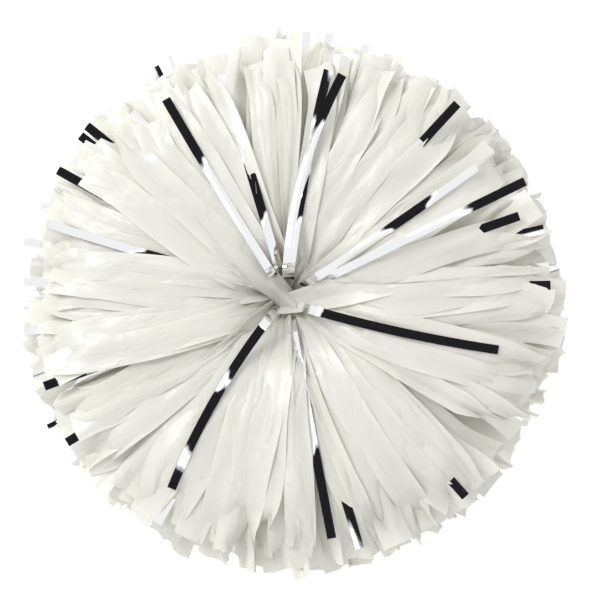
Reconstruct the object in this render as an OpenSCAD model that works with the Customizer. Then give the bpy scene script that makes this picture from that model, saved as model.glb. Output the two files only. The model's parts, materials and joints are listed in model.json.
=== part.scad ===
// Cheer pom pom: a baton handle with a fringed bundle of film streamers tied to each end.
// It lies on its rear bundle with the baton upright. Origin: middle of the resting face. +Z: up the baton.

/* [Baton] */
// Clear length of the grip between the two flanges
grip_length = 100; // [95:1:115]
// Outside diameter of the grip tube
grip_d = 22; // [20:1:26]
// Wall thickness of the grip tube
tube_wall = 2; // [1.5:0.5:2.5]
// Diameter of the flange on each end plug
flange_d = 34; // [30:1:36]
// Thickness of the flange
flange_t = 3; // [2:0.5:4]

/* [Cable ties] */
// Width of the strap
strap_w = 4.8; // [3.6:0.2:4.8]
// Thickness of the strap
strap_t = 1.3; // [1:0.1:1.5]

/* [Streamer sheets] */
// Length from the middle of a film sheet to its cut ends
sheet_half = 167; // [155:1:170]
// Width of the bundle of sheets where the tie gathers it
waist_w = 24; // [20:1:24]
// Wall of the solid that stands for a white film sheet
white_t = 0.8; // [0.6:0.1:0.8]
// Wall of the solid that stands for a metallic film sheet
flash_t = 0.6; // [0.4:0.1:0.8]
// Strands cut round the rim of each sheet
strands = 24; // [12:2:24]
// Gap between two neighbouring strands
slit = 1.6; // [1:0.2:2]

/* [Front fan] */
// Heading above level at which the outermost sheet leaves the waist
front_rise = 58; // [54:1:60]
// The same for the sheet next to the hand
front_inner_rise = -8; // [-12:1:-6]
// Heading of the cut ends of the outermost sheet
front_tip = -35; // [-38:1:-32]
// The same for the sheet next to the hand
front_inner_tip = -45; // [-46:1:-40]

/* [Rear fan] */
// Heading at which the outermost sheet leaves the waist for the table
rear_rise = 45; // [42:1:46]
// The same for the sheet next to the hand
rear_inner_rise = -6; // [-8:1:-4]
// Length over which the outermost sheet bends down to lie flat on the table
rear_bend = 70; // [65:1:75]
// Heading of the sheet next to the hand past that bend
rear_inner_lean = -14; // [-15:1:-12]

/* [Hidden] */
$fn = 96;
// Numbers of the metallic sheets, counted from the outermost; the others are white
FLASH = [0, 4, 8];
SHEETS = 12;
// The sheets lie one on another at the waist, each starting its fan a little further out than the one above
sheet_pitch = 1.6;
waist_t = 1.2;
fan_start_r = 17;
fan_step = 1.3;
// Straight steps that stand for each arc of a sheet's profile
front_steps = 6;
bend_steps = 3;
rest_steps = 2;

eye_r = 3.25;
lug_r = 6.5;
lug_w = 14;
// The eye stands this far above the flange, so that the strap passes over it
eye_above_flange = 8.5;
spigot_l = 16;
spigot_bore_d = 12;
chamfer = 0.8;
fit_gap = 0.4;

tie_side_gap = 1.3;
tie_corner_r = 1.2;
head = [8, 7.5, 5.5];
head_x = 6;
slit_start_r = 46;

eye_from_middle = grip_length / 2 + flange_t + eye_above_flange;
stack_bottom = lug_r + fit_gap;
stack_top = stack_bottom + (SHEETS - 1) * sheet_pitch + waist_t;
// Height of the grip's middle above the table, from the flat part of the outermost rear sheet
middle_z = eye_from_middle + rear_flat_height() + sheet_t(0) / 2;

function is_flash(n) = len([for (f = FLASH) if (f == n) f]) > 0;
function sheet_name(end, n) = str(end, is_flash(n) ? "_flash_sheet_" : "_white_sheet_", n + 1);
function sheet_t(n) = is_flash(n) ? flash_t : white_t;
// Share of the way from the outermost sheet, 0, to the one next to the hand, 1
function share(n) = n / (SHEETS - 1);
function between(a, b, n) = a + (b - a) * share(n);
function reversed(list) = [for (i = [len(list) - 1:-1:0]) list[i]];

// Where sheet n leaves the waist, as [radius, height above the eye]
function fan_start(n) = [
    fan_start_r + fan_step * n,
    stack_bottom + waist_t / 2 + (SHEETS - 1 - n) * sheet_pitch
];
// A point s along an arc of length l from p, whose heading turns evenly from a to b, as [radius, height, heading]
function arc_point(p, a, b, l, s) =
    let (heading = a + (b - a) * s / l)
    abs(b - a) < 0.01
        ? [p[0] + s * cos(a), p[1] + s * sin(a), a]
        : let (r = l * 180 / PI / (b - a))
          [p[0] + r * (sin(heading) - sin(a)), p[1] + r * (cos(a) - cos(heading)), heading];
function arc_path(p, a, b, l, steps) = [for (i = [0:steps]) arc_point(p, a, b, l, l * i / steps)];

function front_path(n) =
    let (p = fan_start(n))
    arc_path(p, between(front_rise, front_inner_rise, n), between(front_tip, front_inner_tip, n),
             sheet_half - p[0], front_steps);
// A rear sheet bends towards the table, then runs out level or nearly so
function rear_path(n) =
    let (p = fan_start(n),
         lean = between(0, rear_inner_lean, n),
         bend = arc_path(p, between(rear_rise, rear_inner_rise, n), lean, rear_bend, bend_steps),
         rest = arc_path(bend[bend_steps], lean, 0, sheet_half - p[0] - rear_bend, rest_steps))
    concat(bend, [for (i = [1:rest_steps]) rest[i]]);
function rear_flat_height() = rear_path(0)[bend_steps][1];

// The outline of a wall t thick along a path
function side(path, d) = [for (q = path) [q[0] - d * sin(q[2]), q[1] + d * cos(q[2])]];
function wall_outline(path, t) = concat(side(path, t / 2), reversed(side(path, -t / 2)));

// Places a child drawn from an eye, +Z away from the hand, at the front or the rear end of the baton
module at_end(end) {
    translate([0, 0, middle_z])
        mirror([0, 0, end == "rear" ? 1 : 0])
            translate([0, 0, eye_from_middle])
                children();
}

module rounded_rect(w, h, r) {
    square([w - 2 * r, h], center = true);
    square([w, h - 2 * r], center = true);
    for (x = [-1, 1], y = [-1, 1])
        translate([x * (w / 2 - r), y * (h / 2 - r)])
            circle(r);
}

module grip_tube() {
    color("whitesmoke")
        translate([0, 0, middle_z - grip_length / 2])
            difference() {
                cylinder(d = grip_d, h = grip_length);
                translate([0, 0, -1])
                    cylinder(d = grip_d - 2 * tube_wall, h = grip_length + 2);
            }
}

// Flange and spigot, turned about the baton's axis
module plug_body() {
    r = flange_d / 2;
    top = -eye_above_flange;
    foot = top - flange_t - spigot_l;
    spigot_r = grip_d / 2 - tube_wall;
    rotate_extrude()
        polygon([
            [0, top],
            [r - chamfer, top],
            [r, top - chamfer],
            [r, top - flange_t + chamfer],
            [r - chamfer, top - flange_t],
            [spigot_r, top - flange_t],
            [spigot_r, foot + chamfer],
            [spigot_r - chamfer, foot],
            [spigot_bore_d / 2, foot],
            [spigot_bore_d / 2, top - flange_t],
            [0, top - flange_t]
        ]);
}

// Lug with a cross bore, the eye, through which the cable tie passes
module end_plug(end) {
    color("whitesmoke")
        at_end(end)
            difference() {
                union() {
                    plug_body();
                    translate([-lug_w / 2, -lug_r, -eye_above_flange - 1])
                        cube([lug_w, 2 * lug_r, eye_above_flange + 1]);
                    rotate([0, 90, 0])
                        cylinder(r = lug_r, h = lug_w, center = true);
                }
                rotate([0, 90, 0])
                    cylinder(r = eye_r, h = lug_w + 2, center = true);
            }
}

// Closed loop of strap through the eye and over the waist of the bundle, with its locking head on top
module cable_tie(end) {
    inside = [waist_w + 2 * tie_side_gap, stack_top + fit_gap - strap_t / 2];
    color("#1c1c1e")
        at_end(end) {
            translate([0, strap_w / 2, strap_t / 2 + inside[1] / 2])
                rotate([90, 0, 0])
                    linear_extrude(strap_w)
                        difference() {
                            rounded_rect(inside[0] + 2 * strap_t, inside[1] + 2 * strap_t,
                                         tie_corner_r + strap_t);
                            rounded_rect(inside[0], inside[1], tie_corner_r);
                        }
            translate([head_x - head[0] / 2, -head[1] / 2, stack_top + fit_gap + strap_t / 2])
                cube(head);
        }
}

// One film sheet: its gathered middle, and the fringe that fans out all round
module streamer_sheet(end, n) {
    path = end == "front" ? front_path(n) : rear_path(n);
    start = fan_start(n);
    t = sheet_t(n);
    slit_turn = 180 / strands * (n % 2);
    color(is_flash(n) ? "silver" : "white")
        at_end(end) {
            difference() {
                rotate_extrude()
                    polygon(wall_outline(path, t));
                for (i = [0:strands - 1])
                    rotate(360 / strands * (i + 0.5) + slit_turn)
                        translate([slit_start_r, -slit / 2, -sheet_half])
                            cube([sheet_half, slit, 2 * sheet_half]);
            }
            translate([0, 0, start[1]])
                intersection() {
                    cylinder(r = start[0] + waist_t / 2, h = waist_t, center = true);
                    cube([waist_w, 3 * start[0], 2 * waist_t], center = true);
                }
        }
}

grip_tube();
end_plug("front");  // front_end_plug
end_plug("rear");  // rear_end_plug
cable_tie("front");  // front_cable_tie
cable_tie("rear");  // rear_cable_tie
for (end = ["front", "rear"], n = [0:SHEETS - 1])
    streamer_sheet(end, n);
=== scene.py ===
import json

import bpy
import numpy as np
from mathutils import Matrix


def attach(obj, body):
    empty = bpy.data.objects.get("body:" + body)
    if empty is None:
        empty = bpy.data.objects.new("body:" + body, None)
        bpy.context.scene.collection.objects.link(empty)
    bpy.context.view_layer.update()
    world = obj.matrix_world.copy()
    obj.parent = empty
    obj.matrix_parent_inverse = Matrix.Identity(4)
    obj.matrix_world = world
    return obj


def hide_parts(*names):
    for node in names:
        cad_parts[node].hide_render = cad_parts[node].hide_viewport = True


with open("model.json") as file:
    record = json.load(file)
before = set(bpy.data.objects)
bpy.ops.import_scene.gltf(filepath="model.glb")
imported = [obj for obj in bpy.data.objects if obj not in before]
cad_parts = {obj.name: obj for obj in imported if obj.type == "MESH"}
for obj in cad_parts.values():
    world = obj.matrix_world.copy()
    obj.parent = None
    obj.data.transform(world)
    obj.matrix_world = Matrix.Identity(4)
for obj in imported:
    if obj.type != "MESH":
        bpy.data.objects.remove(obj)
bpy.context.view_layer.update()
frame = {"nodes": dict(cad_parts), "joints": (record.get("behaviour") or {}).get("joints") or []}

# ---------------------------------------------------------------------------
# Camera, floor and light
# A long lens looks straight down the baton at the front bundle. The floor and
# the room are white, so the white film is lit softly from everywhere.
# ---------------------------------------------------------------------------
MM = 0.001
scene = bpy.context.scene

camera_data = bpy.data.cameras.new("camera")
camera_data.lens = 137
camera_data.sensor_width = 36
camera_data.clip_end = 20
camera = bpy.data.objects.new("camera", camera_data)
scene.collection.objects.link(camera)
camera.location = (7.6 * MM, -1.5 * MM, 1590 * MM)
scene.camera = camera


def srgb(code):
    """The linear colour, with alpha, of an sRGB hex value."""
    parts = [int(code[i:i + 2], 16) / 255 for i in (0, 2, 4)]
    return [c / 12.92 if c <= 0.04045 else ((c + 0.055) / 1.055) ** 2.4 for c in parts] + [1]


def new_material(name):
    """An empty node material."""
    material = bpy.data.materials.new(name)
    material.use_nodes = True
    material.node_tree.nodes.clear()
    return material


def add(material, kind, settings=None, **inputs):
    """Adds a node. An input is a value, or a node's output to link."""
    tree = material.node_tree
    node = tree.nodes.new("ShaderNode" + kind)
    for key, value in (settings or {}).items():
        setattr(node, key, value)
    for key, value in inputs.items():
        socket = node.inputs[int(key[1:])] if key[1:].isdigit() else node.inputs[key.replace("_", " ")]
        if isinstance(value, bpy.types.NodeSocket):
            tree.links.new(value, socket)
        else:
            socket.default_value = value
    return node


def add_mesh(name, vertices, faces):
    """A smooth mesh object from vertices in metres and faces of vertex numbers."""
    mesh = bpy.data.meshes.new(name)
    mesh.from_pydata([tuple(v) for v in vertices], [], [tuple(f) for f in faces])
    mesh.polygons.foreach_set("use_smooth", [True] * len(mesh.polygons))
    piece = bpy.data.objects.new(name, mesh)
    scene.collection.objects.link(piece)
    return piece


def add_square(name, half):
    """A level square, half its side either way of the origin."""
    corners = [(-half, -half, 0), (half, -half, 0), (half, half, 0), (-half, half, 0)]
    return add_mesh(name, corners, [(0, 1, 2, 3)])


# Matt white studio sweep, which glows a little so that no shadow greys it
sweep = new_material("matt_white_sweep")
sweep_grain = add(sweep, "TexNoise", Scale=60, Detail=3)
sweep_tone = add(
    sweep, "Mix", {"data_type": "RGBA"},
    Factor=sweep_grain.outputs["Fac"], _6=srgb("F9F9F9"), _7=srgb("FDFDFD"))
sweep_face = add(
    sweep, "BsdfPrincipled", Base_Color=sweep_tone.outputs[2], Roughness=0.9,
    Emission_Color=srgb("FFFFFF"), Emission_Strength=0.3)
add(sweep, "OutputMaterial", Surface=sweep_face.outputs[0])
floor = add_square("floor", 4)
floor.data.materials.append(sweep)

world = bpy.data.worlds.new("white_room")
scene.world = world
world.use_nodes = True
world.node_tree.nodes["Background"].inputs["Color"].default_value = (1, 1, 1, 1)
world.node_tree.nodes["Background"].inputs["Strength"].default_value = 0.91

key_data = bpy.data.lights.new("key", "AREA")
key_data.size = 0.6
key_data.energy = 14.5
key = bpy.data.objects.new("key", key_data)
scene.collection.objects.link(key)
key.location = (-0.75, 0.6, 1.5)
key.rotation_euler = (-0.45, -0.5, 0)

# A black card round the lens, fading to white, which only shows in glossy
# reflections: level flash film mirrors it, and tilted flash film the white room
card_black = new_material("black_card")
card_place = add(card_black, "TexCoord")
card_round = add(card_black, "VectorMath", {"operation": "LENGTH"}, _0=card_place.outputs["Object"])
card_fade = add(card_black, "MapRange", Value=card_round.outputs["Value"], From_Min=0.36, From_Max=0.47)
card_tone = add(
    card_black, "Mix", {"data_type": "RGBA"},
    Factor=card_fade.outputs[0], _6=srgb("1C1C1E"), _7=srgb("FFFFFF"))
card_face = add(
    card_black, "BsdfPrincipled", Base_Color=card_tone.outputs[2], Roughness=1, Specular_IOR_Level=0)
add(card_black, "OutputMaterial", Surface=card_face.outputs[0])
card = add_square("card", 0.5)
card.location.z = 1.25
card.data.materials.append(card_black)
card.visible_camera = False
card.visible_diffuse = False
card.visible_transmission = False
card.visible_shadow = False

scene.view_settings.view_transform = "Standard"
scene.cycles.max_bounces = 16
scene.cycles.diffuse_bounces = 8
scene.cycles.transmission_bounces = 8

# ---------------------------------------------------------------------------
# Grip tube and end plugs
# A white ABS tube, extruded, and a moulded plug pressed into each end, whose
# lug has the eye for the cable tie. Satin, with faint draw lines on the tube.
# ---------------------------------------------------------------------------
# Extruded ABS: the die leaves fine lines along the tube, about 1 mm apart
tube_abs = new_material("extruded_abs")
tube_place = add(tube_abs, "TexCoord")
tube_stretch = add(tube_abs, "Mapping", Vector=tube_place.outputs["Object"], Scale=(900, 900, 12))
tube_lines = add(tube_abs, "TexNoise", Vector=tube_stretch.outputs[0], Scale=1, Detail=3)
tube_relief = add(tube_abs, "Bump", Height=tube_lines.outputs["Fac"], Strength=0.25, Distance=0.05 * MM)
tube_tone = add(
    tube_abs, "Mix", {"data_type": "RGBA"},
    Factor=tube_lines.outputs["Fac"], _6=srgb("E9E8E2"), _7=srgb("F3F2EE"))
tube_face = add(
    tube_abs, "BsdfPrincipled", Base_Color=tube_tone.outputs[2], Roughness=0.32, IOR=1.53,
    Normal=tube_relief.outputs[0])
add(tube_abs, "OutputMaterial", Surface=tube_face.outputs[0])

# Moulded ABS: a fine grain from the mould, duller than the tube, and marks of wear 11 mm apart
plug_abs = new_material("moulded_abs")
plug_place = add(plug_abs, "TexCoord")
plug_grain = add(plug_abs, "TexNoise", Vector=plug_place.outputs["Object"], Scale=1600, Detail=2)
plug_wear = add(plug_abs, "TexNoise", Vector=plug_place.outputs["Object"], Scale=90, Detail=4)
plug_relief = add(plug_abs, "Bump", Height=plug_grain.outputs["Fac"], Strength=0.2, Distance=0.03 * MM)
plug_tone = add(
    plug_abs, "Mix", {"data_type": "RGBA"},
    Factor=plug_wear.outputs["Fac"], _6=srgb("E4E3DD"), _7=srgb("F2F1EC"))
plug_face = add(
    plug_abs, "BsdfPrincipled", Base_Color=plug_tone.outputs[2], Roughness=0.38, IOR=1.53,
    Normal=plug_relief.outputs[0])
add(plug_abs, "OutputMaterial", Surface=plug_face.outputs[0])


def repaint(node, material):
    """A carried-over CAD node takes the material in every slot."""
    mesh = frame["nodes"][node].data
    for i in range(len(mesh.materials)):
        mesh.materials[i] = material
    if not mesh.materials:
        mesh.materials.append(material)


repaint("grip_tube", tube_abs)
repaint("front_end_plug", plug_abs)
repaint("rear_end_plug", plug_abs)

# ---------------------------------------------------------------------------
# Cable ties
# Moulded black nylon 66: a strap pulled tight round the waist of each bundle
# and through the plug's eye. The strap is ribbed across by its ratchet.
# ---------------------------------------------------------------------------
RIB_PITCH = 1.6 * MM

nylon = new_material("moulded_nylon_66")
nylon_place = add(nylon, "TexCoord")
nylon_ribs = add(
    nylon, "TexWave", {"bands_direction": "X"},
    Vector=nylon_place.outputs["Object"], Scale=1 / RIB_PITCH / 3.14, Distortion=0)
nylon_grain = add(nylon, "TexNoise", Vector=nylon_place.outputs["Object"], Scale=900, Detail=2)
nylon_height = add(
    nylon, "Math", {"operation": "ADD"}, _0=nylon_ribs.outputs["Fac"], _1=nylon_grain.outputs["Fac"])
nylon_relief = add(nylon, "Bump", Height=nylon_height.outputs[0], Strength=0.3, Distance=0.15 * MM)
nylon_tone = add(
    nylon, "Mix", {"data_type": "RGBA"},
    Factor=nylon_grain.outputs["Fac"], _6=srgb("141416"), _7=srgb("222226"))
nylon_face = add(
    nylon, "BsdfPrincipled", Base_Color=nylon_tone.outputs[2], Roughness=0.42, IOR=1.53,
    Normal=nylon_relief.outputs[0])
add(nylon, "OutputMaterial", Surface=nylon_face.outputs[0])
repaint("front_cable_tie", nylon)
repaint("rear_cable_tie", nylon)

# ---------------------------------------------------------------------------
# White film sheets
# Low-density polyethylene film, 0.05 mm thick, knife-cut into 19 mm strands
# from both ends. Nine a bundle are gathered at the waist with the flash film.
# ---------------------------------------------------------------------------
# Sheets of a bundle, numbered from the outermost, 0, and which of them are flash film
SHEETS = 12
FLASH = (0, 4, 8)
STRANDS = 25
STRAND_W = 19.05
# From the middle of a sheet to its cut ends
SHEET_HALF = 167
# Half the width of the gathered sheets at the tie
WAIST_HALF = 11.4
# How far from the middle a sheet's strands stay on their own side of the tie: outer sheets, inner sheets
OFF_TIE = (5.5, 3.5)
# Vertices across a strand, and rows of them along its waist and its fan
ACROSS = 7
WAIST_ROWS = 3
FAN_ROWS = 26
# The plugs' eyes, from which each bundle is laid out
EYES = {
    j["child"].split("_")[0]: np.array(j["pos_m"]) / MM
    for j in frame["joints"] if j["name"].endswith("_rock")}
OUTWARD = {"front": 1, "rear": -1}

rng = np.random.default_rng(7)


def fan_start(n):
    """Radius, and height beyond the eye, at which sheet n leaves the waist."""
    return 17 + 1.3 * n, 7.5 + (SHEETS - 1 - n) * 1.6


# Headings of the front fan at these distances from the waist, for four of its sheets. The others lie between
AT = (0, 12, 30, 50, 100, 150)
PROFILES = {
    1: (44, 43, 36, 20, -5, -48),
    3: (44, 40, 30, 15, -5, -29),
    5: (36, 33, 27, 18, -6, -30),
    11: (-6, -9, -13, -16, -22, -30)}
# The rear fan bends to its lean within this distance, and then levels out on the table
REAR_BEND = 70


def fan_heading(end, n, s):
    """Heading above level of sheet n's profile, s along from the waist, in degrees."""
    if end == "front":
        headings = [np.interp(n, list(PROFILES), column) for column in zip(*PROFILES.values())]
        return np.interp(s, AT, headings)
    inward = n / (SHEETS - 1)
    length = SHEET_HALF - fan_start(n)[0]
    rise = 45 - 51 * inward
    lean = -14 * inward
    return np.where(
        s < REAR_BEND,
        rise + (lean - rise) * s / REAR_BEND,
        lean * (1 - (s - REAR_BEND) / (length - REAR_BEND)))


def aim_from(start, bearing):
    """Direction in plan from where a strand starts to its bearing, 90 mm out."""
    b = np.radians(bearing)
    return np.degrees(np.arctan2(90 * np.sin(b) - start[1], 90 * np.cos(b) - start[0]))


def smooth_noise(knots, seed):
    """A smooth random function of bearing in degrees, about 1 high."""
    values = np.random.default_rng(seed).normal(0, 1, knots)

    def at(bearing):
        t = (bearing % 360) / 360 * knots
        i = int(t)
        f = t - i
        f = f * f * (3 - 2 * f)
        return values[i % knots] * (1 - f) + values[(i + 1) % knots] * f

    return at


class Pile:
    """The top of the film laid so far, on a grid of radius and bearing."""

    CELL_R = 2
    CELLS_R = 100

    def __init__(self, ground):
        self.top = np.full((self.CELLS_R, 360), float(ground))

    def cells(self, points):
        """The cell that each point stands over, and its radius."""
        r = np.hypot(points[..., 0], points[..., 1])
        i = np.clip(r / self.CELL_R, 0, self.CELLS_R - 1).astype(int)
        j = np.degrees(np.arctan2(points[..., 1], points[..., 0])).astype(int) % 360
        return i, j, r

    def settle(self, grid, gap, clear_r=40, full_r=62, limit=14):
        """Lifts a strand, left and right edge apart, until it lies on the pile."""
        i, j, r = self.cells(grid)
        need = self.top[i, j] + gap - grid[..., 2]
        need = np.clip(need, 0, limit) * np.clip((r - clear_r) / (full_r - clear_r), 0, 1)
        kernel = np.array([1, 2, 3, 4, 3, 2, 1]) / 16
        edges = []
        for side in (need[:, :3], need[:, -3:]):
            lift = side.max(axis=1)
            wide = np.pad(lift, 3, mode="edge")
            high = np.max([wide[k:k + len(lift)] for k in range(2, 5)], axis=0)
            edges.append(np.convolve(np.pad(high, 3, mode="edge"), kernel, mode="valid"))
        t = np.linspace(0, 1, grid.shape[1])
        grid[..., 2] += edges[0][:, None] * (1 - t) + edges[1][:, None] * t
        # What still pokes into the pile drapes over it, point by point
        i, j, r = self.cells(grid)
        left = np.clip(self.top[i, j] + gap - grid[..., 2], 0, limit / 2)
        left *= np.clip((r - clear_r) / (full_r - clear_r), 0, 1)
        wide = np.pad(left, ((2, 2), (1, 1)), mode="edge")
        rows, columns = left.shape
        near = [wide[a:a + rows, b:b + columns] for a in range(5) for b in range(3)]
        grid[..., 2] += 0.5 * np.max(near, axis=0) + 0.5 * np.mean(near, axis=0)

    def bridge(self, grid, gap, clear_r, full_r):
        """Lifts a strand as a whole, so that it keeps its line over the pile."""
        i, j, r = self.cells(grid)
        need = (self.top[i, j] + gap - grid[..., 2])[(r > full_r) & (r < 125)]
        grid[..., 2] += max(0, np.percentile(need, 97)) * np.clip((r - clear_r) / (full_r - clear_r), 0, 1)

    def lay(self, grid):
        """Adds a strand's surface to the pile."""
        for _ in range(2):
            rows = np.empty((2 * len(grid) - 1, grid.shape[1], 3))
            rows[::2] = grid
            rows[1::2] = (grid[1:] + grid[:-1]) / 2
            grid = rows
        fine = np.empty((len(grid), 2 * grid.shape[1] - 1, 3))
        fine[:, ::2] = grid
        fine[:, 1::2] = (grid[:, 1:] + grid[:, :-1]) / 2
        i, j, r = self.cells(fine)
        np.maximum.at(self.top, (i, j), fine[..., 2])


def strand(start, s, plan, heading, width, folds, fold_angle, roll, waist_x, side, ripple=0):
    """Vertices of one strand, rows x across, in millimetres, in its end's frame.

    plan and heading are its direction in plan and above level, in degrees, at
    the distances s from start, and roll is its turn about that direction.
    folds are the signs of its lengthwise creases, fold_angle how sharp they
    are, and ripple how high its soft lengthwise waves stand. waist_x is where
    it crosses the middle of the sheet, and side which way it leaves, 1 or -1.
    """
    ds = np.diff(s)
    h = np.radians(heading)
    p = np.radians(plan)
    hm, pm = (h[1:] + h[:-1]) / 2, (p[1:] + p[:-1]) / 2
    steps = np.stack([np.cos(hm) * np.cos(pm), np.cos(hm) * np.sin(pm), np.sin(hm)], axis=1) * ds[:, None]
    centre = np.vstack([np.zeros(3), np.cumsum(steps, axis=0)]) + start
    tangent = np.stack([np.cos(h) * np.cos(p), np.cos(h) * np.sin(p), np.sin(h)], axis=1)
    across = np.stack([-np.sin(p), np.cos(p), np.zeros_like(p)], axis=1)
    up = np.cross(tangent, across)
    c, d = np.cos(np.radians(roll))[:, None], np.sin(np.radians(roll))[:, None]
    across, up = c * across + d * up, c * up - d * across
    g = np.radians(fold_angle)
    cell = width / (ACROSS - 1)
    x = np.zeros((len(s), ACROSS))
    y = np.zeros((len(s), ACROSS))
    for k in range(ACROSS - 1):
        x[:, k + 1] = x[:, k] + cell * np.cos(g)
        y[:, k + 1] = y[:, k] + cell * np.sin(g) * folds[k]
    x -= x.mean(axis=1)[:, None]
    y -= y.mean(axis=1)[:, None]
    if ripple:
        t = np.linspace(0, 1, ACROSS)[None]
        phase = rng.uniform(0, 6.28, 3)
        turn = s[:, None] / rng.uniform(35, 90)
        y += ripple * (
            np.sin(rng.uniform(5, 9) * t + phase[0] + turn)
            + 0.6 * np.sin(rng.uniform(10, 15) * t + phase[1] - turn)
            + 0.7 * np.sin(s[:, None] / rng.uniform(5, 11) + phase[2] + 3 * t))
    grid = centre[:, None, :] + x[..., None] * across[:, None, :] + y[..., None] * up[:, None, :]
    # The way from the middle of the sheet, under the tie, to where the fan starts
    t = np.linspace(0, 1, WAIST_ROWS + 1)[:-1, None]
    a = np.array([waist_x, 0, start[2]])
    b = np.array([waist_x, side * min(5, abs(start[1])), start[2]])
    line = (1 - t) ** 2 * a + 2 * t * (1 - t) * b + t ** 2 * np.array(start)
    offsets = grid[0] - grid[0].mean(axis=0)
    squeeze = np.array([
        -side * np.linspace(-0.45, 0.45, ACROSS), np.zeros(ACROSS), 0.25 * np.resize([1, -1], ACROSS)]).T
    waist = line[:, None, :] + (1 - t[..., None] ** 2) * squeeze[None] + t[..., None] ** 2 * offsets[None]
    return np.vstack([waist, grid])


def to_object(end, grid):
    """From an end's frame, with its eye at the origin and +Z away from the hand, to the object's."""
    return grid * np.array([1, 1, OUTWARD[end]]) + EYES[end]


# Signs of a strand's lengthwise creases
CREASES = [
    (1, 1, 1, -1, -1, -1), (-1, -1, -1, 1, 1, 1), (1, 1, 1, 1, 1, 1), (-1, -1, -1, -1, -1, -1),
    (1, 1, -1, -1, 1, 1), (1, 1, 1, 1, -1, -1), (-1, -1, 1, 1, 1, 1), (1, 1, -1, -1, -1, -1)]
# Locks that neighbouring strands gather into
LOCKS = {end: np.sort((np.arange(15) * 24 + rng.uniform(-8, 8, 15)) % 360) for end in ("front", "rear")}
# How neighbouring strands lean and rise together, round each bundle
sway = {end: smooth_noise(11, 21 + i) for i, end in enumerate(("front", "rear"))}
swell = {end: smooth_noise(17, 31 + i) for i, end in enumerate(("front", "rear"))}
# Partings between locks of the outer sheets, where the flash film below shows. The outermost white sheet's
# cut ends keep CLEAR degrees away from them
CLEAR = 9
PARTINGS = {"front": (-79, 163, 23, 70, 106), "rear": ()}
# The sheets are not tied exactly at their middle, so the strands reach UNEVEN further one way
LONG_WAY = np.radians(-48)
UNEVEN = 8


def white_strand(end, n, i, side):
    """One strand of white sheet n: number i of its side, 1 or -1."""
    r0, z0 = fan_start(n)
    f = (i + 0.5) / STRANDS
    waist_x = -WAIST_HALF + 2 * WAIST_HALF * (1 - f)
    bearing = side * 180 * f + rng.normal(0, 2.2)
    # The outer sheets close over the tie
    close = np.clip(1 - n / 3, 0, 1)
    r0 = r0 - 8 * close
    start = np.array([r0 * np.cos(np.radians(bearing)), r0 * np.sin(np.radians(bearing)), z0])
    start[1] = side * max(abs(start[1]), OFF_TIE[0] if n < 3 else OFF_TIE[1])
    length = SHEET_HALF - fan_start(n)[0]
    length = length + UNEVEN * np.cos(np.radians(bearing) - LONG_WAY) + rng.normal(0, 2.5)
    s = np.linspace(0, 1, FAN_ROWS) ** 1.1 * length
    u = s / length
    # Direction in plan
    aim = aim_from(start, bearing)
    locks = LOCKS[end] + 9 * np.sin(n * 2.3) * (n > 3)
    away = (bearing - locks + 180) % 360 - 180
    lock = away[np.argmin(np.abs(away))]
    drift = -(0.55 + 0.25 * close) * lock + 7 * sway[end](bearing + 20 * n) + rng.normal(0, 5)
    for parting in PARTINGS[end] if n < 3 else ():
        beside = (bearing - parting + 180) % 360 - 180
        drift += np.sign(beside) * max(0, 12 - abs(beside))
        if n == 1 and abs(beside) < 20:
            drift += np.sign(beside) * max(0, CLEAR - np.sign(beside) * (beside + drift))
    plan = aim + drift * u + rng.normal(0, 3) * np.sin(2.5 * np.pi * u)
    # Heading above level
    heading = fan_heading(end, n, s)
    lift = 4 * swell[end](bearing + 9 * n) + rng.normal(0, 2)
    heading = heading + lift * (1 - u) + rng.normal(-1, 6) * u ** 2
    heading = heading + rng.normal(0, 2.5) * np.sin(2 * np.pi * u * rng.uniform(0.8, 1.6))
    # The cut ends are bent and turned from handling
    tip = np.clip((u - rng.uniform(0.75, 0.88)) / 0.12, 0, 1)
    heading = heading + rng.normal(2, 15) * tip
    plan = plan + rng.normal(0, 10) * tip
    # Creases that open away from the waist
    folds = np.array(CREASES[rng.integers(len(CREASES))])
    r = np.hypot(start[0], start[1]) + s
    held = rng.random() < 0.1
    rest = rng.uniform(48, 70) if held else abs(rng.normal(0, 13))
    open_r = rng.uniform(62, 92) * (1 - close) + rng.uniform(18, 60) * close
    closed = (78 - 40 * close) * np.clip(1 - (r - 9) / (open_r - 9), 0, 1) ** 0.8
    fold_angle = np.maximum(closed, rest * np.clip(1.2 - 0.5 * u, 0, 1))
    fold_angle = np.minimum(fold_angle + (rng.random() < 0.4) * rng.uniform(15, 55) * tip, 80)
    roll = rng.normal(0, 9) * (1 - u) + (rng.normal(0, 13) + 5) * u
    roll = roll + rng.normal(0, 14) * u ** 3 + rng.normal(0, 16) * tip
    return strand(start, s, plan, heading, STRAND_W, folds, fold_angle, roll, waist_x, side, 0.95)


# Headings of a strand thrown over the tie, at distances from its start
OVER_TIE = [(0, 40), (4, 88), (9, 128), (14, 158), (22, 160), (55, 166), (90, 180), (125, 205), (160, 228)]


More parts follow.
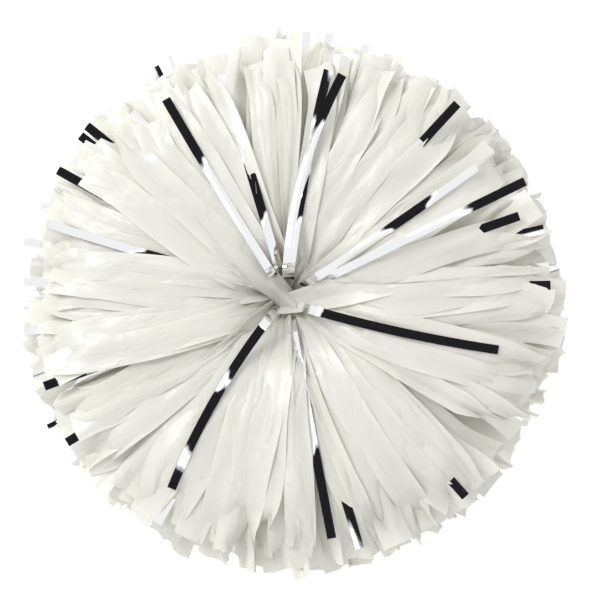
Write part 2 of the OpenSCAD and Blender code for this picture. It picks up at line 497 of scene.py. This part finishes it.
def crossing_strand(end, n, bearing, swing=0):
    """A strand thrown over the tie from the far side, towards bearing."""
    z0 = fan_start(n)[1]
    side = -1 if np.sin(np.radians(bearing)) > 0 else 1
    b = np.radians(bearing)
    start = np.array([-7 * np.cos(b), side * max(OFF_TIE[0], 7 * abs(np.sin(b))), z0])
    length = SHEET_HALF - fan_start(n)[0]
    s = np.linspace(0, 1, FAN_ROWS) ** 1.3 * length
    u = s / length
    heading = np.interp(s, [p[0] for p in OVER_TIE], [p[1] for p in OVER_TIE]) + rng.normal(0, 3) * u
    plan = bearing + 180 + swing * u
    fold_angle = 60 * np.clip(1 - s / 60, 0, 1) + 8
    roll = rng.normal(0, 8) + rng.normal(0, 10) * u
    folds = np.array(CREASES[rng.integers(2)])
    return strand(start, s, plan, heading, STRAND_W, folds, fold_angle, roll, -start[0] * 0.5, side, 0.5)


def join_sheet(name, ribbons, strand_w):
    """One open mesh from ribbons, each a grid of vertices along one strand."""
    vertices, faces, marks = [], [], []
    for number, grid in enumerate(ribbons):
        rows, columns = grid.shape[:2]
        base = len(vertices)
        vertices += [tuple(p * MM) for p in grid.reshape(-1, 3)]
        steps = np.linalg.norm(np.diff(grid.mean(axis=1), axis=0), axis=1)
        along = np.concatenate([[0], np.cumsum(steps)])
        for i in range(rows - 1):
            for j in range(columns - 1):
                a = base + i * columns + j
                faces.append((a, a + 1, a + columns + 1, a + columns))
                u0, u1 = number * 1.37 + j / (columns - 1), number * 1.37 + (j + 1) / (columns - 1)
                marks += [(u0, along[i]), (u1, along[i]), (u1, along[i + 1]), (u0, along[i + 1])]
    piece = add_mesh(name, vertices, faces)
    layer = piece.data.uv_layers.new(name="strand")
    layer.data.foreach_set("uv", [c for u, v in marks for c in (u * strand_w * MM, v * MM)])
    return piece


# Polyethylene film: soft grey-white, and light passes through it. Blowing it leaves faint lines along the
# web, about 5 mm apart, and handling leaves crinkles of 12 by 33 mm. The real lines are finer than shows, so
# they are drawn this coarse. Each mapping's scales are repeats a metre, across and along the strand
film = new_material("polyethylene_film")
film_place = add(film, "UVMap", {"uv_map": "strand"})
film_web = add(film, "Mapping", Vector=film_place.outputs[0], Scale=(190, 6, 1))
film_lines = add(film, "TexNoise", Vector=film_web.outputs[0], Scale=1, Detail=3)
film_hands = add(film, "Mapping", Vector=film_place.outputs[0], Scale=(80, 30, 1))
film_crinkle = add(
    film, "TexNoise", Vector=film_hands.outputs[0], Scale=1, Detail=2.5, Roughness=0.5, Distortion=0.8)
film_off = add(film, "Math", {"operation": "SUBTRACT"}, _0=film_crinkle.outputs["Fac"], _1=0.5)
film_crease = add(film, "Math", {"operation": "ABSOLUTE"}, _0=film_off.outputs[0])
film_dents = add(
    film, "Math", {"operation": "MULTIPLY_ADD"},
    _0=film_crease.outputs[0], _1=1.6, _2=film_crinkle.outputs["Fac"])
film_height = add(
    film, "Math", {"operation": "MULTIPLY_ADD"},
    _0=film_lines.outputs["Fac"], _1=0.4, _2=film_dents.outputs[0])
film_relief = add(film, "Bump", Height=film_height.outputs[0], Strength=0.75, Distance=1.4 * MM)
# Painted shade: a noise about 26 mm across and 250 mm along each strand darkens and lightens its grey-white.
# It stands in for the shade of soft lengthwise folds.
painted_shade_runs = add(film, "Mapping", Vector=film_place.outputs[0], Scale=(38, 4, 1))
film_painted_shade = add(film, "TexNoise", Vector=painted_shade_runs.outputs[0], Scale=1, Detail=2)
film_tone = add(
    film, "Mix", {"data_type": "RGBA"},
    Factor=film_painted_shade.outputs["Fac"], _6=srgb("DEDDD4"), _7=srgb("EEEDE8"))
film_face = add(
    film, "BsdfPrincipled", Base_Color=film_tone.outputs[2], Roughness=0.34, IOR=1.51,
    Normal=film_relief.outputs[0])
film_glow = add(film, "BsdfTranslucent", Color=srgb("EFEEE7"), Normal=film_relief.outputs[0])
film_mix = add(film, "MixShader", Fac=0.28, _1=film_face.outputs[0], _2=film_glow.outputs[0])
add(film, "OutputMaterial", Surface=film_mix.outputs[0])

# ---------------------------------------------------------------------------
# Flash film sheets
# Polyester film with a vacuum-metallised face, cut into 5.4 mm strands, so few
# that they only glint between the white ones. Mirror bright.
# ---------------------------------------------------------------------------
FLASH_W = 5.4
FLASH_STRANDS = 12

# Metallised polyester: a near mirror, with crinkles about 17 mm across
flash = new_material("metallised_polyester")
flash_place = add(flash, "UVMap", {"uv_map": "strand"})
flash_hands = add(flash, "Mapping", Vector=flash_place.outputs[0], Scale=(60, 60, 1))
flash_crinkle = add(flash, "TexNoise", Vector=flash_hands.outputs[0], Scale=1, Detail=3)
flash_relief = add(flash, "Bump", Height=flash_crinkle.outputs["Fac"], Strength=0.25, Distance=0.6 * MM)
flash_tone = add(
    flash, "Mix", {"data_type": "RGBA"},
    Factor=flash_crinkle.outputs["Fac"], _6=srgb("F8F9FB"), _7=srgb("FEFEFE"))
flash_face = add(
    flash, "BsdfPrincipled", Base_Color=flash_tone.outputs[2], Metallic=1, Roughness=0.05,
    Normal=flash_relief.outputs[0])
add(flash, "OutputMaterial", Surface=flash_face.outputs[0])


def flash_strand(end, n, bearing, side, swing=0, shape=None, rise=0):
    """One strand of flash sheet n, from the waist to its cut end on side 1 or -1.

    shape is a list of (distance, heading, roll), which follows a steep rise of
    this length. Without one the strand follows its sheet, with random bends.
    """
    r0, z0 = fan_start(n)
    if n == 0:
        r0 -= 8
    start = np.array([r0 * np.cos(np.radians(bearing)), r0 * np.sin(np.radians(bearing)), z0])
    start[1] = side * max(abs(start[1]), OFF_TIE[0] if n < 3 else OFF_TIE[1])
    length = SHEET_HALF - fan_start(n)[0]
    s = np.linspace(0, 1, FAN_ROWS) * length
    u = s / length
    aim = aim_from(start, bearing)
    plan = aim + swing * u
    if shape:
        heading, turn = (np.interp(s - rise, [p[0] for p in shape], [p[k] for p in shape]) for k in (1, 2))
    else:
        # The stiff flash runs straighter than the film, so its cut ends reach out level from the rim
        stiff = {0: 29, 4: 29, 8: 12}[n] if end == "front" else 0
        heading = fan_heading(end, n, s) + rng.normal(0, 5) * (1 - u) + (stiff + rng.normal(0, 7)) * u ** 1.5
        heading = heading + rng.normal(0, 3) * np.sin(4 * np.pi * u * rng.uniform(0.8, 1.5))
        turn = rng.normal(0, 15) * (1 - u) + rng.normal(0, 6) * u
    folds = np.array(CREASES[0])
    waist_x = 11 * np.cos(np.radians(bearing))
    return strand(start, s, plan, heading, FLASH_W, folds, np.full_like(s, 3), turn, waist_x, side)


# Shapes of strands, as distance, heading and roll. Rolled 20 degrees or so the flash mirrors the white room,
# and level lengths of it mirror the dark above
FLAT = [(0, 88, 0), (20, 86, 0), (24, 30, 0), (27, 5, 0), (70, 2, 0), (110, -3, 0), (160, -5, 0)]
ARCHED = [
    (0, 80, 20), (15, 58, 22), (38, 12, 24), (76, 8, 24), (82, 4, 0), (102, -2, 0), (105, -6, 22),
    (150, -12, 26)]
LATE = [(0, 80, 0), (15, 58, 15), (34, 12, 24), (98, 6, 24), (103, 2, 0), (150, -4, 0)]
WAVY = [
    (0, 82, 0), (15, 58, 15), (34, 14, 22), (50, 8, 24), (53, 3, 0), (70, 2, 0), (73, 6, -22),
    (108, 4, -24), (112, -10, 0), (118, 18, -15), (124, -18, 10), (132, 8, 0), (140, -14, 12), (150, -6, 0)]
SWEPT = [(0, 80, 0), (15, 58, 15), (34, 14, 20), (70, 10, 24), (112, 6, 22), (117, 1, 0), (155, -3, 0)]
CRUMPLED = [
    (0, 84, 0), (18, 66, 0), (26, 46, 0), (32, -44, 8), (38, 50, 0), (44, -46, -10), (50, 48, 0),
    (56, -44, 0), (60, 24, 0), (64, 12, 24), (75, 8, 24), (80, 2, 0), (114, -3, 0), (118, -20, 10),
    (126, -14, 0), (131, 3, 0), (150, -4, 0)]
CRIMPED = [
    (0, 50, 20), (20, 44, 20), (40, 24, 20), (46, -26, -12), (52, 40, 10), (58, -30, -8), (64, 36, 12),
    (70, -30, -10), (76, 30, 8), (82, -20, -14), (88, 12, 20), (96, -4, 24), (150, -12, 24)]
WEDGE = [(0, 50, 20), (20, 42, 20), (50, 22, 20), (58, 2, 0), (76, 0, 0), (84, -10, 20), (150, -44, 20)]
EDGE = [(0, 50, 20), (12, 48, 22), (30, 38, 24), (50, 18, 24), (108, 0, 24), (113, -2, 0), (150, -3, 0)]
DROOPED = [(0, 44, 0), (20, 36, 0), (50, 12, 0), (100, -10, 0), (150, -44, 0)]
# No set shape: the strand follows its sheet out to the rim
RIM = None
# The 24 strands of each of two front sheets: bearing, swing, shape, and the sheet each is tucked under.
# DROOPED ones stay hidden under white film. The RIM ones of the second sheet show their cut ends
PLACED = {
    0: [
        (33, 3, ARCHED, 0), (123, -3, LATE, 0), (84, -8, WAVY, 0), (92, -30, SWEPT, 0),
        (106, 1, WEDGE, 1), (164, -4, CRIMPED, 1), (19, 2, SWEPT, 1),
        (58, 0, DROOPED, 3), (150, 0, DROOPED, 3), (5, -4, DROOPED, 3), (128, 4, DROOPED, 3),
        (172, 4, DROOPED, 3),
        (-20, 10, FLAT, 0), (-132, 20, CRUMPLED, 0), (-80, 1, LATE, 1),
        (-172, 1, DROOPED, 3), (-179, 0, DROOPED, 3), (-160, 6, DROOPED, 3), (-115, 0, DROOPED, 3),
        (-60, 2, DROOPED, 3), (-45, 3, DROOPED, 3), (-90, 0, DROOPED, 3), (-10, 0, DROOPED, 3),
        (-100, 0, DROOPED, 3)],
    4: [(26, 0, EDGE, 1), (-84, 0, DROOPED, 6)]
    + [(b, rng.normal(0, 3), RIM, 9 if b in (151, -160, -174) else 6)
       for b in (17, 4, 50, 121, 138, 143, 151, -4, -26, -48, -74, -120, -145, -160, -174)]
    + [(b, 0, DROOPED, 6) for b in (42, 58, 74, 91, -14, -60, -108)]}

# ---------------------------------------------------------------------------
# The two bundles
# Twelve sheets laid one on another: the front bundle from the hand outwards,
# and the rear one up from the table. Each is one piece of film.
# ---------------------------------------------------------------------------
# How far apart two strands lie
GAP = 0.3
# The same for a strand that keeps its line over the film below
BRIDGE_GAP = 1.2
# Steep rise that brings a strand laid on top of the bundle clear of the tie
TOP_RISE = 10
# Height above which strands are pressed down
CROWN = 243 * 0.985

# Number and side of the strands thrown over the tie, with where each ends up
CROSSING = {(19, -1): (138, -5), (5, -1): (12, 5)}

sheets = {(end, n): {} for end in ("front", "rear") for n in range(SHEETS)}
for end in ("front", "rear"):
    order = range(SHEETS - 1, -1, -1) if end == "front" else range(SHEETS)
    pile = Pile(-1000 if end == "front" else GAP)
    for n in order:
        # Flash strands whose way is set
        for m, placed in PLACED.items() if end == "front" else ():
            for bearing, swing, shape, under in placed:
                if under == n:
                    side = 1 if bearing > 0 else -1
                    rise = TOP_RISE if under == 0 else 0
                    grid = to_object(end, flash_strand(end, m, bearing, side, swing, shape, rise))
                    if n < 2:
                        pile.bridge(grid, BRIDGE_GAP, clear_r=8, full_r=20)
                    else:
                        pile.settle(grid, GAP)
                    pile.lay(grid)
                    sheets[(end, m)][(bearing, side)] = grid
        if n not in FLASH:
            queue = [(i, side) for i in range(STRANDS) for side in (1, -1)]
        elif end == "rear" or n not in PLACED:
            queue = [(i, side) for i in range(FLASH_STRANDS) for side in (1, -1)]
        else:
            continue
        rng.shuffle(queue)
        thrown = CROSSING if end == "front" and n == 1 else {}
        for i, side in [tuple(q) for q in queue if tuple(q) not in thrown] + list(thrown):
            if (i, side) in thrown:
                grid = crossing_strand(end, n, *thrown[(i, side)])
            elif n in FLASH:
                bearing = side * 180 * (i + 0.5) / FLASH_STRANDS + rng.normal(0, 7)
                grid = flash_strand(end, n, bearing, side, rng.normal(0, 9))
            else:
                grid = white_strand(end, n, i, side)
            grid = to_object(end, grid)
            if n < 4 and n not in FLASH:
                pile.settle(grid, GAP, clear_r=8, full_r=26, limit=12)
            else:
                pile.settle(grid, GAP)
            if end == "rear":
                grid[..., 2] = np.maximum(grid[..., 2], 0.4)
            pile.lay(grid)
            sheets[(end, n)][(i, side)] = grid

for (end, n), items in sheets.items():
    kind = "flash" if n in FLASH else "white"
    name = f"{end}_{kind}_sheet_{n + 1}"
    if kind == "white":
        # A white strand runs through the waist, from one cut end to the other
        ribbons = []
        for i in range(STRANDS):
            near, far = items[(i, 1)], items[(i, -1)][:, ::-1]
            middle = (near[:1] + far[:1]) / 2
            ribbons.append(np.vstack([far[:0:-1], middle, near[1:]]))
    else:
        # A flash strand is drawn as two halves, each from the waist to a cut end
        ribbons = list(items.values())
    for grid in ribbons:
        over = grid[..., 2] > CROWN
        grid[..., 2][over] = CROWN + (grid[..., 2][over] - CROWN) * 0.6
    piece = join_sheet(name + "_film", ribbons, STRAND_W if kind == "white" else FLASH_W)
    piece.data.materials.append(film if kind == "white" else flash)
    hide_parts(name)
    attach(piece, f"{end}_streamers")
